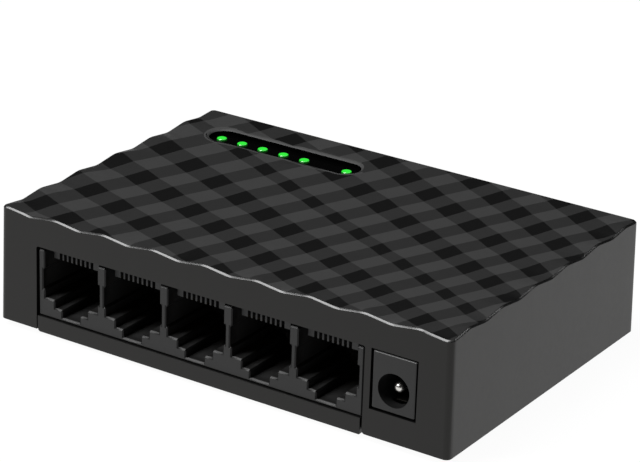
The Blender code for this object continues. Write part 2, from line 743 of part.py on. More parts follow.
def axis_point(y):
    return (JACK_X, y, JACK_AXIS_Z)


def build_jack_spring():
    """The leaf that presses on a plug's sleeve: it bows up into the bore and hinges at its rear end."""
    bow = ((10.6, 0.0), (5.4, 0.8), (4.4, 0.95), (3.4, 0.75), (2.9, 0.45))
    half = 0.14
    upper = [(JACK_FRONT + u * MM, SPRING_Z + (v + half) * MM) for u, v in bow]
    lower = [(JACK_FRONT + u * MM, SPRING_Z + (v - half) * MM) for u, v in reversed(bow)]
    start, end = JACK_X - 1.2 * MM, JACK_X + 1.2 * MM
    spring = prism("dc_jack_spring", upper + lower, "X", start, end, NICKEL)
    hinge_line = (start, SPRING_Y, SPRING_Z), (end, SPRING_Y, SPRING_Z)
    roll = rod("join_spring_roll", *hinge_line, 0.32 * MM, None, 10)
    set_pivot(spring, (JACK_X, SPRING_Y, SPRING_Z))
    boolean(spring, roll, "UNION")


# ---- circuit board ----


def build_board():
    board = box(
        "circuit_board",
        (-BOARD_HALF, BOARD_FRONT, BOARD_TOP - BOARD_THICK),
        (BOARD_HALF, BOARD_BACK, BOARD_TOP),
        BOARD_GREEN,
    )
    holes = bmesh.new()
    for x, y in peg_places():
        add_rod(holes, (x, y, 0.0), (x, y, 6 * MM), 1.3 * MM, 12)
    boolean(board, add_object("cut_board_holes", holes))


def on_board(name, centre, size, material, bevel=0.15 * MM):
    """A part standing on the board: its centre in plan and its size, in millimetres."""
    x, y = (value * MM for value in centre)
    width, depth, height = (value * MM for value in size)
    low = (x - width / 2, y - depth / 2, BOARD_TOP + SEAT)
    high = (x + width / 2, y + depth / 2, BOARD_TOP + height)
    return box(name, low, high, material, bevel)


def build_electronics():
    on_board("switch_chip", (0.0, 9.0), (10.0, 10.0, 0.9), CHIP, 0.1 * MM)
    on_board("memory_chip", (-15.0, 10.0), (5.0, 4.0, 1.6), CHIP)
    on_board("lan_transformer_1", (-20.0, -5.0), (28.0, 10.0, 5.8), CHIP, 0.3 * MM)
    on_board("lan_transformer_2", (8.0, -5.0), (13.0, 10.0, 5.8), CHIP, 0.3 * MM)
    on_board("crystal", (14.0, 12.0), (11.0, 4.6, 3.6), NICKEL, 1.0 * MM)
    on_board("power_inductor", (22.0, -8.0), (6.0, 6.0, 3.0), CHIP, 0.5 * MM)
    on_board("voltage_regulator", (30.0, 2.0), (6.5, 3.6, 1.7), CHIP)
    on_board("input_diode", (31.0, -12.0), (4.4, 2.7, 2.2), CHIP)
    for number, x in enumerate((-34.0, -24.0, -14.0), 1):
        on_board(f"resistor_pack_{number}", (x, 17.5), (3.2, 1.6, 0.6), CHIP, 0.05 * MM)
    for number, (x, y) in enumerate(((37.0, -10.0), (39.0, 3.0)), 1):
        base = (x * MM, y * MM, BOARD_TOP + SEAT)
        top = (x * MM, y * MM, BOARD_TOP + 8.0 * MM)
        capacitor = rod(f"capacitor_{number}", base, top, 3.15 * MM, CAPACITOR, 20)
        round_edges(capacitor, 0.3 * MM, 1)


clear_scene()
SWITCH = new_collection("network_switch")
CUTTERS = new_collection("cutters")
BLACK_ABS = plastic("black_abs", (0.032, 0.032, 0.031), 0.45)
SOCKET_PBT = plastic("socket_pbt", (0.045, 0.045, 0.044), 0.5)
WINDOW_BLACK = plastic("window_black", (0.004, 0.004, 0.004), 0.12)
CLEAR = plastic("light_guide_green", (0.05, 0.8, 0.08), 0.2)
RUBBER = plastic("foot_rubber", (0.02, 0.02, 0.02), 0.85)
STEEL = plastic("screw_steel", (0.55, 0.55, 0.56), 0.35, 1.0)
NICKEL = plastic("nickel", (0.7, 0.69, 0.66), 0.22, 1.0)
CONTACT = plastic("contact_gold", (0.72, 0.5, 0.2), 0.3, 1.0)
LABEL = plastic("blank_label", (0.6, 0.6, 0.6), 0.6)
BOARD_GREEN = plastic("board_green", (0.01, 0.11, 0.04), 0.4)
CHIP = plastic("chip_epoxy", (0.02, 0.02, 0.022), 0.55)
CAPACITOR = plastic("capacitor_sleeve", (0.03, 0.035, 0.05), 0.4)
LED_BODY = plastic("led_body", (0.7, 0.72, 0.66), 0.4)

build_cover()
build_base()
build_base_fittings()
build_indicators()
build_sockets()
build_jack()
build_board()
build_electronics()
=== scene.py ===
"""A five-port desktop network switch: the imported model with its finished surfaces, on a pale floor."""

import math

import bmesh
import bpy
from mathutils import Matrix, Vector

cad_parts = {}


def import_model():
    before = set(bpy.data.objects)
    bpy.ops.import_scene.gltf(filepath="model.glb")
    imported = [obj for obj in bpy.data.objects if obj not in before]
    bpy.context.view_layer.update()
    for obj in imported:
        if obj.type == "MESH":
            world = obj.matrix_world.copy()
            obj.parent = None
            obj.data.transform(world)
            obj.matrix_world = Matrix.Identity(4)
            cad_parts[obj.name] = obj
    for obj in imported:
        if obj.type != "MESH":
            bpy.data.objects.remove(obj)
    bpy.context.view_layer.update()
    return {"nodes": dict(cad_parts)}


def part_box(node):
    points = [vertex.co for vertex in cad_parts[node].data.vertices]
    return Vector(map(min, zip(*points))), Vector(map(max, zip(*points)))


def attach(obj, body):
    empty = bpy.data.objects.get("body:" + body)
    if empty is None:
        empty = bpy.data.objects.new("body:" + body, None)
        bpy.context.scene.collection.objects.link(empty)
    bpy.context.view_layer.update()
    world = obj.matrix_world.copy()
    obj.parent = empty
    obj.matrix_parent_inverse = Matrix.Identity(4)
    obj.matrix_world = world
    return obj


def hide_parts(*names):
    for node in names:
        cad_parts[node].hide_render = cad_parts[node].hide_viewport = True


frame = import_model()
nodes = frame["nodes"]
MM = 0.001

# Camera: azimuth, elevation and roll, and its place along its own axes from the middle of the rim
CAMERA_ANGLES = [math.radians(angle) for angle in (32.925, 22.477, 1.819)]
CAMERA_PLACE = 0.418 * MM, 17.257 * MM, 512.711 * MM
CAMERA_LENS = 154.39

# Case, as in the CAD
RIM_Z = 1.3 * MM
TOP_Z = 23.55 * MM
FRONT, BACK, SIDE = -33.29 * MM, 33.1 * MM, 48.28 * MM  # outline of the top
DRAFT_FRONT, DRAFT_BACK, DRAFT_SIDE = 0.21 * MM, 0.4 * MM, 0.42 * MM
CORNER = 1.1 * MM
WALL = 1.8 * MM
TOP_WALL = 2.2 * MM

# Chamfer round the top, in millimetres: how far in from the outline, and how far down
EDGE_STEPS = ((0.0, 0.34), (0.02, 0.3), (0.05, 0.26), (0.26, 0.05), (0.3, 0.02), (0.36, 0.0))
EDGE_WIDTH = 0.35 * MM  # the part of it that is shinier

# Openings in the front, measured from the pieces that stand in them
NOTCH_LEFT_GAP, NOTCH_RIGHT_GAP, NOTCH_TOP_GAP = 0.3 * MM, 0.36 * MM, 0.25 * MM
NOTCH_CORNER, NOTCH_TOP_CORNER = 0.6 * MM, 0.4 * MM
JACK_GAP, JACK_HEIGHT = 0.35 * MM, 10.72 * MM

# Pattern of the top
ORIGIN = Vector((14.48, 5.87)) * MM
COLUMN = Vector((7.495, -3.77)) * MM
ROW = Vector((-3.53, -10.04)) * MM
COLUMN_TAPER, ROW_TAPER = 0.0218, 0.0077
DARK_SHARE, NARROW_ROW, NARROW_SHARE = 0.46, 1, 0.27
RIDGE_HEIGHT, RIDGE_FADE = 0.2 * MM, 1.0 * MM
FRONT_WAVE, SIDE_WAVE = 11.1 * MM, 11.3 * MM
WAVE_HEIGHT, WAVE_REACH, WAVE_ROUND = 0.37 * MM, 6.0 * MM, 0.9 * MM
FRONT_PEAK_X, LEFT_PEAK_Y = -47.15 * MM, -33.5 * MM

# Indicator slot
LED_FIRST, LED_PITCH, LED_Y = -38.35 * MM, 4.89 * MM, 22.37 * MM
LED_SLOTS = (0, 1, 2, 3, 4, 6)
LED_LAST = LED_FIRST + LED_PITCH * LED_SLOTS[-1]
SLOT_RADIUS = 3.2 * MM
SLOT_LEFT, SLOT_RIGHT = LED_FIRST + 0.8 * MM, LED_LAST - 0.4 * MM  # centres of its round ends
SLOT_BACK = 0.8  # share by which its far side spreads further than its other sides
SLOT_FLOOR = TOP_Z - 1.05 * MM
SLOT_STEP = SLOT_FLOOR + 0.72 * MM
SLOT_WALL = (  # in millimetres above the step and beyond the radius
    (0.0, 0.0),
    (0.05, 0.03),
    (0.2, 0.2),
    (0.3, 0.42),
    (0.41, 0.8),
    (1.7, 7.0),
)
SLOT_WALL_WIDTH = 1.2 * MM
# Painted highlight line round the slot's near rim: its radius, half its width and its tone
RIM_LINE, RIM_LINE_HALF, RIM_HIGHLIGHT_TONE = SLOT_RADIUS + 0.85 * MM, 0.18 * MM, 0.042

# Tones of the facets that are in no dark stripe, in one and in two
TONES = (0.0310, 0.0160, 0.0020)

SMOOTH_ANGLE = math.radians(32)  # sharper edges stay sharp
BEVEL_ANGLE = math.radians(40)


def link(obj):
    bpy.context.scene.collection.objects.link(obj)
    return obj


def camera():
    az, el, roll = CAMERA_ANGLES
    back = Vector((math.sin(az) * math.cos(el), -math.cos(az) * math.cos(el), math.sin(el)))
    right = (-back).cross(Vector((0, 0, 1))).normalized()
    up = right.cross(-back)
    x = right * math.cos(roll) + up * math.sin(roll)
    y = up * math.cos(roll) - right * math.sin(roll)
    data = bpy.data.cameras.new("camera")
    data.sensor_width = 36.0
    data.lens = CAMERA_LENS
    data.clip_start, data.clip_end = 0.01, 50
    cam = link(bpy.data.objects.new("camera", data))
    right_by, up_by, back_by = CAMERA_PLACE
    at = x * right_by + y * up_by + back * back_by + Vector((0, 0, RIM_Z))
    cam.matrix_world = Matrix.Translation(at) @ Matrix((x, y, back)).transposed().to_4x4()
    bpy.context.scene.camera = cam


# ---- materials ----


class Material:
    """A Principled material, with its node graph written as calls."""

    def __init__(self, name, rough=0.4, metallic=0.0, specular=0.5, colour=None, tint=None):
        self.made = bpy.data.materials.new(name)
        self.made.use_nodes = True
        self.nodes, self.links = self.made.node_tree.nodes, self.made.node_tree.links
        self.shader = self.nodes["Principled BSDF"]
        self.set("Metallic", metallic)
        self.set("Roughness", rough)
        self.set("Specular IOR Level", specular)
        if colour:
            self.set("Base Color", (*colour, 1))
        if tint:
            self.set("Specular Tint", (*tint, 1))
        self.place = self.node("ShaderNodeTexCoord").outputs["Object"]

    def set(self, name, value):
        socket = self.shader.inputs[name]
        if isinstance(value, bpy.types.NodeSocket):
            self.links.new(value, socket)
        else:
            socket.default_value = value

    def node(self, kind, inputs=(), **settings):
        made = self.nodes.new(kind)
        for key, value in settings.items():
            setattr(made, key, value)
        for key, value in inputs.items() if isinstance(inputs, dict) else enumerate(inputs):
            if isinstance(value, bpy.types.NodeSocket):
                self.links.new(value, made.inputs[key])
            else:
                made.inputs[key].default_value = value
        return made

    def maths(self, operation, *inputs):
        return self.node("ShaderNodeMath", inputs, operation=operation).outputs[0]

    def between(self, factor, low, high):
        """A value between two, each a socket or a number."""
        plain = isinstance(low, float) and isinstance(high, float)
        span = high - low if plain else self.maths("SUBTRACT", high, low)
        return self.maths("MULTIPLY_ADD", factor, span, low)

    def axes(self):
        """The place on the model as three sockets."""
        return self.node("ShaderNodeSeparateXYZ", [self.place]).outputs

    def facing(self):
        """The way that the surface faces, as three sockets."""
        normal = self.node("ShaderNodeNewGeometry").outputs["Normal"]
        return self.node("ShaderNodeSeparateXYZ", [normal]).outputs

    def noise(self, scale):
        inputs = {"Vector": self.place, "Scale": scale, "Detail": 3.0}
        return self.node("ShaderNodeTexNoise", inputs).outputs[0]

    def ramp(self, value, *limits):
        """A value mapped from one range to another: limits are from, from, to, to."""
        return self.node("ShaderNodeMapRange", [value, *limits]).outputs[0]

    def mix(self, factor, low, high):
        """A colour between two, each a socket or linear RGB."""
        low, high = (c if isinstance(c, bpy.types.NodeSocket) else (*c, 1.0) for c in (low, high))
        made = self.node("ShaderNodeMix", {0: factor, 6: low, 7: high}, data_type="RGBA")
        return made.outputs[2]

    def bump(self, height, strength, depth):
        made = self.node("ShaderNodeBump", {"Height": height, "Strength": strength, "Distance": depth})
        self.set("Normal", made.outputs[0])

    def grey(self, value):
        return self.node("ShaderNodeCombineColor", [value] * 3).outputs[0]

    def grain(self, scale, strength, depth):
        """A moulded texture: fine bumps of about 1/scale metres."""
        self.bump(self.noise(scale), strength, depth)

    def mottle(self, tone, spread):
        """A base colour of one tone, with slight patches."""
        patches = self.between(self.noise(300.0), tone * (1 - spread), tone * (1 + spread))
        self.set("Base Color", self.grey(patches))


def moulded(name, tone, rough, specular=0.5, scale=6000.0, strength=0.15, tint=None):
    """A fine moulded plastic, slightly uneven in tone and gloss."""
    made = Material(name, rough, specular=specular, tint=tint)
    made.mottle(tone, 0.12)
    made.set("Roughness", made.between(made.noise(900.0), rough - 0.04, rough + 0.04))
    made.grain(scale, strength, 0.02 * MM)
    return made.made


def metal(name, colour, tarnish, rough, along="z"):
    """A drawn or plated metal with fine streaks along one axis, duller in patches."""
    made = Material(name, rough, 1.0)
    stretch = [40.0 if axis == along else 1400.0 for axis in "xyz"]
    lines = made.node("ShaderNodeVectorMath", [made.place, stretch], operation="MULTIPLY").outputs[0]
    streaks = made.node("ShaderNodeTexNoise", {"Vector": lines, "Scale": 1.0, "Detail": 2.0}).outputs[0]
    patches = made.ramp(made.noise(420.0), 0.45, 0.75, 0.0, 1.0)
    made.set("Base Color", made.mix(patches, colour, tarnish))
    streaked = made.between(streaks, rough - 0.07, rough + 0.1)
    made.set("Roughness", made.maths("ADD", streaked, made.maths("MULTIPLY", patches, 0.12)))
    made.bump(streaks, 0.25, 0.01 * MM)
    return made.made


def socket_plastic(name, front, above=-1.0):
    """Moulded black PBT, rougher inside, and darkened inside by painted shade.

    It has a painted highlight just behind its front, where it faces up and is above a given height.
    """
    made = Material(name, 0.4, specular=0.42)
    _, y, z = made.axes()
    depth = made.maths("SUBTRACT", y, front)
    # painted highlight: a paler band on up-facing faces just behind the front, above a given height
    painted_highlight = made.ramp(depth, 0.35 * MM, 0.6 * MM, 1.0, 0.0)
    painted_highlight = made.maths("MULTIPLY", painted_highlight, made.maths("GREATER_THAN", made.facing()[2], 0.3))
    painted_highlight = made.maths("MULTIPLY", painted_highlight, made.maths("GREATER_THAN", z, above))
    # painted shade: the tone darkens from 0.5 mm to 3 mm behind the front, deeper inside the openings, as it
    # also grows rougher
    inside = made.ramp(depth, 0.5 * MM, 3.0 * MM, 0.0, 1.0)
    tone = made.between(painted_highlight, made.between(inside, 0.004, 0.0005), 0.075)
    tone = made.maths("MULTIPLY", tone, made.between(made.noise(300.0), 0.88, 1.12))
    made.set("Base Color", made.grey(tone))
    made.set("Roughness", made.between(inside, made.between(made.noise(900.0), 0.36, 0.44), 0.8))
    made.grain(6000.0, 0.15, 0.02 * MM)
    return made.made


def circuit_green():
    """Solder mask over runs of parallel copper tracks, with plated holes."""
    made = Material("solder_mask", 0.3, specular=0.5)
    x, y, _ = made.axes()
    tracks = []
    for across, seed in ((x, 90.0), (y, 130.0)):
        line = made.maths("GREATER_THAN", made.maths("PINGPONG", across, 0.35 * MM), 0.2 * MM)
        cells = made.node("ShaderNodeTexVoronoi", {"Vector": made.place, "Scale": seed}).outputs["Color"]
        chance = made.node("ShaderNodeSeparateColor", [cells]).outputs[0]
        tracks.append(made.maths("MULTIPLY", line, made.maths("GREATER_THAN", chance, 0.5)))
    copper = made.maths("MAXIMUM", *tracks)
    spots = made.node("ShaderNodeTexVoronoi", {"Vector": made.place, "Scale": 260.0}).outputs["Distance"]
    hole = made.maths("LESS_THAN", spots, 0.1)
    mask = made.mix(copper, (0.004, 0.045, 0.016), (0.012, 0.12, 0.04))
    made.set("Base Color", made.mix(hole, mask, (0.45, 0.43, 0.38)))
    made.set("Metallic", hole)
    made.bump(made.maths("ADD", copper, hole), 0.5, 0.03 * MM)
    return made.made


def capacitor_sleeve():
    """A dark shrink sleeve with a pale stripe down one side, open over a metal top."""
    made = Material("capacitor_sleeve", 0.35)
    x, _, z = made.facing()
    top = made.maths("GREATER_THAN", z, 0.9)
    stripe = made.maths("LESS_THAN", x, -0.85)
    wrap = made.mix(stripe, (0.012, 0.014, 0.022), (0.35, 0.36, 0.38))
    wrap = made.mix(made.maths("MULTIPLY", made.noise(500.0), 0.2), wrap, (0.0, 0.0, 0.0))
    made.set("Base Color", made.mix(top, wrap, (0.62, 0.62, 0.63)))
    made.set("Metallic", top)
    made.grain(1500.0, 0.1, 0.02 * MM)
    return made.made


def blank_label(low, high):
    """A satin film with a printed frame line and nothing else."""
    made = Material("blank_film", 0.45)
    x, y, _ = made.axes()
    inset = []
    for value, least, most in ((x, low.x, high.x), (y, low.y, high.y)):
        off = made.maths("ABSOLUTE", made.maths("SUBTRACT", value, (least + most) / 2))
        inset.append(made.maths("SUBTRACT", (most - least) / 2, off))
    edge = made.maths("MINIMUM", *inset)
    line = made.maths("COMPARE", edge, 1.0 * MM, 0.12 * MM)
    film = made.mix(made.noise(200.0), (0.5, 0.5, 0.5), (0.58, 0.58, 0.57))
    made.set("Base Color", made.mix(line, film, (0.03, 0.03, 0.03)))
    made.grain(3000.0, 0.08, 0.01 * MM)
    return made.made


def led_body():
    """A white reflector cup around a patch of yellow phosphor."""
    made = Material("led_body", 0.35)
    cup = made.maths("GREATER_THAN", made.facing()[2], 0.8)
    made.set("Base Color", made.mix(cup, (0.7, 0.7, 0.68), (0.62, 0.6, 0.3)))
    made.set("Roughness", made.between(made.noise(1200.0), 0.25, 0.4))
    return made.made


def lit_green():
    """The light guide: bright where it faces up, and dark green on its sides."""
    made = Material("led_green", 0.18, specular=0.9, colour=(0.005, 0.12, 0.01))
    glow = made.ramp(made.facing()[2], 0.58, 0.82, 0.05, 0.95)
    made.set("Emission Color", (0.03, 0.75, 0.04, 1))
    made.set("Emission Strength", made.maths("MULTIPLY", glow, made.between(made.noise(900.0), 0.92, 1.08)))
    return made.made


def plaid(mat):
    """Two sockets, each 1 inside a dark column or a dark row and 0 outside."""
    x, y, _ = mat.axes()
    point = mat.node("ShaderNodeCombineXYZ", [x, y, 1.0]).outputs[0]
    c, r, o, ct, rt = COLUMN, ROW, ORIGIN, COLUMN_TAPER, ROW_TAPER
    lines = (
        (r.y - o.y * rt, o.x * rt - r.x, o.y * r.x - o.x * r.y),
        (ct * o.y - c.y, c.x - ct * o.x, c.y * o.x - c.x * o.y),
        (c.y * rt - ct * r.y, ct * r.x - c.x * rt, c.x * r.y - c.y * r.x),
    )
    dots = []
    for line in lines:
        dot = mat.node("ShaderNodeVectorMath", [point, Vector(line) * 1e3], operation="DOT_PRODUCT")
        dots.append(dot.outputs["Value"])
    sockets = []
    for number in range(2):
        count = mat.maths("DIVIDE", dots[number], dots[2])
        whole = mat.maths("ROUND", count)
        away = mat.maths("ABSOLUTE", mat.maths("SUBTRACT", count, whole))
        half = DARK_SHARE / 2
        if number == 1:
            narrow = mat.maths("COMPARE", whole, float(NARROW_ROW), 0.1)
            half = mat.maths("MULTIPLY_ADD", narrow, (NARROW_SHARE - DARK_SHARE) / 2, half)
        sockets.append(mat.maths("LESS_THAN", away, half))
    return sockets


def slot_rim_highlight(mat):
    """1 on a painted highlight line round the near side and the left end of the indicator slot, and 0
    elsewhere.
    """
    x, y, _ = mat.axes()
    along = mat.maths("SUBTRACT", x, mat.maths("MINIMUM", mat.maths("MAXIMUM", x, SLOT_LEFT), SLOT_RIGHT))
    across = mat.maths("SUBTRACT", y, LED_Y)
    squares = [mat.maths("POWER", length, 2.0) for length in (along, across)]
    reach = mat.maths("SQRT", mat.maths("ADD", *squares))
    line = mat.maths("COMPARE", reach, RIM_LINE, RIM_LINE_HALF)
    near = mat.maths("MAXIMUM", mat.maths("LESS_THAN", across, 0.0), mat.maths("LESS_THAN", along, 0.0))
    return mat.maths("MULTIPLY", line, near)


def top_material():
    mat = Material("black_abs_faceted", 0.4, specular=0.25)
    column, row = plaid(mat)
    open_row = mat.between(column, TONES[0], TONES[1])
    dark_row = mat.between(column, TONES[1], TONES[2])
    tone = mat.between(row, open_row, dark_row)
    tone = mat.maths("MULTIPLY", tone, mat.between(mat.noise(250.0), 0.94, 1.06))
    # painted highlight along the slot's near rim, lighter than the facets
    tone = mat.between(slot_rim_highlight(mat), tone, RIM_HIGHLIGHT_TONE)
    mat.set("Base Color", mat.grey(tone))
    mat.grain(6000.0, 0.12, 0.02 * MM)
    return mat.made


# ---- case ----


def add_mesh(name, bm, *materials):
    mesh = bpy.data.meshes.new(name)
    bm.to_mesh(mesh)
    bm.free()
    for mat in materials:
        mesh.materials.append(mat)
    return link(bpy.data.objects.new(name, mesh))


def pattern_point(i, j):
    return (ORIGIN + COLUMN * i + ROW * j) / (1.0 + i * COLUMN_TAPER + j * ROW_TAPER)


def pattern_count(x, y):
    column = Vector((COLUMN.x - x * COLUMN_TAPER, COLUMN.y - y * COLUMN_TAPER))
    row = Vector((ROW.x - x * ROW_TAPER, ROW.y - y * ROW_TAPER))
    reach = Vector((x, y)) - ORIGIN
    area = column.x * row.y - column.y * row.x
    return (reach.x * row.y - reach.y * row.x) / area, (column.x * reach.y - column.y * reach.x) / area


def share_of(row):
    return NARROW_SHARE if row == NARROW_ROW else DARK_SHARE


def ridge(count, share):
    phase = count - round(count)
    if abs(phase) <= share / 2:
        return -phase / share
    return math.copysign((0.5 - abs(phase)) / (1.0 - share), -phase)


def wave(distance, pitch):
    """A zigzag from -1 to 1 with rounded corners, at a peak where the distance is 0."""
    half = pitch / 2
    phase = abs((distance / half + 1.0) % 2.0 - 1.0) * half  # distance from the nearest peak
    for corner, sign in ((phase, 1.0), (half - phase, -1.0)):
        if corner < WAVE_ROUND:
            return sign * (1.0 - (corner * corner / WAVE_ROUND + WAVE_ROUND) / half)
    return 1.0 - 2.0 * phase / half


def fade(distance, reach):
    return min(max(1.0 - distance / reach, 0.0), 1.0)


def inside_by(x, y):
    """How far inside the outline of the top a point in plan is."""
    dx = abs(x) - (SIDE - CORNER)
    dy = abs(y - (FRONT + BACK) / 2) - ((BACK - FRONT) / 2 - CORNER)
    return CORNER - math.hypot(max(dx, 0), max(dy, 0)) - min(max(dx, dy), 0)


def top_height(x, y):
    front, back, left, right = y - FRONT, BACK - y, x + SIDE, SIDE - x
    column, row = pattern_count(x, y)
    inside = inside_by(x, y)
    ridges = ridge(column, DARK_SHARE) + ridge(row, share_of(round(row)))
    waves = (
        (fade(front, WAVE_REACH), wave(x - FRONT_PEAK_X, FRONT_WAVE)),
        (fade(left, WAVE_REACH), wave(y - LEFT_PEAK_Y, SIDE_WAVE)),
        (fade(right, WAVE_REACH), -wave(y - LEFT_PEAK_Y, SIDE_WAVE)),
    )
    weight = sum(share for share, _ in waves)
    lift = sum(share * height for share, height in waves) / max(weight, 1.0) * (1.0 - fade(back, WAVE_REACH))
    level = 1.0 - fade(inside - EDGE_STEPS[-1][0] * MM, RIDGE_FADE)
    return TOP_Z + RIDGE_HEIGHT * ridges * level + WAVE_HEIGHT * lift - edge_drop(inside / MM) * MM


def edge_drop(inside):
    """How far the chamfered edge of the top is below it, in millimetres."""
    for (near, low), (far, high) in zip(EDGE_STEPS, EDGE_STEPS[1:]):
        if inside < far:
            return low + (high - low) * max(inside - near, 0.0) / (far - near)
    return 0.0


def slice_sheet(bm, point, normal, keep=None):
    faces = [face for face in bm.faces if keep is None or keep(face.calc_center_median())]
    edges = {edge for face in faces for edge in face.edges}
    verts = {vert for face in faces for vert in face.verts}
    bmesh.ops.bisect_plane(
        bm, geom=[*verts, *edges, *faces], dist=0.002 * MM, plane_co=(*point, 0), plane_no=(*normal, 0)
    )


def pattern_lines():
    for column in range(-10, 11):
        for edge in (-DARK_SHARE / 2, DARK_SHARE / 2):
            yield pattern_point(column + edge, -3), pattern_point(column + edge, 3)
    for row in range(-6, 8):
        for edge in (-share_of(row) / 2, share_of(row) / 2):
            yield pattern_point(-3, row + edge), pattern_point(3, row + edge)


def faceted_top(bm):
    """The sheet of the top: the outline, rings for its chamfer, and slices along every ridge and wave."""
    size = Matrix.Translation((0, (FRONT + BACK) / 2, 0)) @ Matrix.Diagonal((SIDE, (BACK - FRONT) / 2, 1, 1))
    bmesh.ops.create_grid(bm, x_segments=1, y_segments=1, size=1, matrix=size)
    bmesh.ops.bevel(bm, geom=bm.verts[:], offset=CORNER, segments=6, profile=0.5, affect="VERTICES")
    middle = bm.faces[:]
    for (last, _), (distance, _) in zip(EDGE_STEPS, EDGE_STEPS[1:]):
        step = (distance - last) * MM
        bmesh.ops.inset_region(bm, faces=middle, thickness=step, use_even_offset=True, use_boundary=True)
    for a, b in pattern_lines():
        slice_sheet(bm, a, (a.y - b.y, b.x - a.x))
    for inset in (EDGE_STEPS[-1][0] * MM + RIDGE_FADE, WAVE_REACH):
        for x in (inset - SIDE, SIDE - inset):
            slice_sheet(bm, (x, 0), (1, 0))
        for y in (FRONT + inset, BACK - inset):
            slice_sheet(bm, (0, y), (0, 1))
    for step in range(18):
        for offset in (-1.0, -0.5, 0.0, 0.5, 1.0):
            x = FRONT_PEAK_X + step * FRONT_WAVE / 2 + offset * WAVE_ROUND
            slice_sheet(bm, (x, 0), (1, 0), lambda at: at.y < FRONT + WAVE_REACH)
            y = LEFT_PEAK_Y + step * SIDE_WAVE / 2 + offset * WAVE_ROUND
            slice_sheet(bm, (0, y), (0, 1), lambda at: abs(at.x) > SIDE - WAVE_REACH)


def cover_solid():
    bm = bmesh.new()
    faceted_top(bm)
    rim = [edge for edge in bm.edges if edge.is_boundary]
    bmesh.ops.triangulate(bm, faces=[face for face in bm.faces if len(face.verts) > 3])
    for vert in bm.verts:
        vert.co.z = top_height(vert.co.x, vert.co.y)
    down = bmesh.ops.extrude_edge_only(bm, edges=rim)["geom"]
    for vert in (item for item in down if isinstance(item, bmesh.types.BMVert)):
        vert.co.x += DRAFT_SIDE * vert.co.x / SIDE
        if vert.co.y < FRONT + CORNER:
            vert.co.y -= DRAFT_FRONT
        elif vert.co.y > BACK - CORNER:
            vert.co.y += DRAFT_BACK
        vert.co.z = RIM_Z
    bmesh.ops.holes_fill(bm, edges=[edge for edge in bm.edges if edge.is_boundary], sides=0)
    bmesh.ops.recalc_face_normals(bm, faces=bm.faces[:])
    return add_mesh("cover_shell", bm)


def add_box(bm, low, high):
    low, high = Vector(low), Vector(high)
    size = Matrix.Diagonal((*(high - low), 1))
    bmesh.ops.create_cube(bm, size=1, matrix=Matrix.Translation((low + high) / 2) @ size)


def pill_cutter(left, right, rings):
    """A solid with round ends, lofted up through rings of (height, radius)."""
    bm = bmesh.new()
    loops = []
    for z, radius in rings:
        loop = []
        for end, first in ((right, -90), (left, 90)):
            for step in range(17):
                angle = math.radians(first + 180 * step / 16)
                back = max(math.sin(angle), 0.0) * SLOT_BACK * (radius - SLOT_RADIUS)
                y = LED_Y + (radius + back) * math.sin(angle)
                loop.append(bm.verts.new((end + radius * math.cos(angle), y, z)))
        loops.append(loop)
    for low, high in zip(loops, loops[1:]):
        for n in range(len(low)):
            m = (n + 1) % len(low)
            bm.faces.new((low[n], low[m], high[m], high[n]))
    bm.faces.new(loops[0])
    bm.faces.new(loops[-1])
    bmesh.ops.recalc_face_normals(bm, faces=bm.faces[:])
    return bm


def cut(obj, bm):
    cutter = add_mesh("cutter", bm)
    modifier = obj.modifiers.new("cut", "BOOLEAN")
    modifier.object = cutter
    modifier.solver = "EXACT"
    mesh = bpy.data.meshes.new_from_object(obj.evaluated_get(bpy.context.evaluated_depsgraph_get()))
    obj.modifiers.clear()
    obj.data = mesh
    bpy.data.objects.remove(cutter, do_unlink=True)


def on_ridge(x, y):
    """True on a line between two facets."""
    column, row = pattern_count(x, y)
    from_column = abs(abs(column - round(column)) - DARK_SHARE / 2)
    from_row = abs(abs(row - round(row)) - share_of(round(row)) / 2)
    return min(from_column, from_row) < 0.002


def cut_box(obj, low, high, round_top=0.0):
    """Cuts a box out, with its upper corners rounded as seen from the front."""
    bm = bmesh.new()
    add_box(bm, low, high)
    if round_top:
        along = [edge for edge in bm.edges if edge.verts[0].co.xz == edge.verts[1].co.xz]
        top = [edge for edge in along if edge.verts[0].co.z > 0]
        bmesh.ops.bevel(bm, geom=top, offset=round_top, segments=3, profile=0.5, affect="EDGES")
    cut(obj, bm)


def cut_notch_corner(obj, x):
    """Rounds off the lower corner of the cover that stands to the right of x."""
    outline = [(x - MM, RIM_Z - MM), (x + NOTCH_CORNER, RIM_Z - MM)]
    for step in range(7):
        angle = math.radians(15 * step)
        off = NOTCH_CORNER * (1 - math.sin(angle)), NOTCH_CORNER * (1 - math.cos(angle))
        outline.append((x + off[0], RIM_Z + off[1]))
    outline.append((x - MM, RIM_Z + NOTCH_CORNER))
    bm = bmesh.new()
    face = bm.faces.new([bm.verts.new((u, FRONT - 5 * MM, v)) for u, v in outline])
    for item in bmesh.ops.extrude_face_region(bm, geom=[face])["geom"]:
        if isinstance(item, bmesh.types.BMVert):
            item.co.y = FRONT + WALL + MM
    bmesh.ops.recalc_face_normals(bm, faces=bm.faces[:])
    cut(obj, bm)


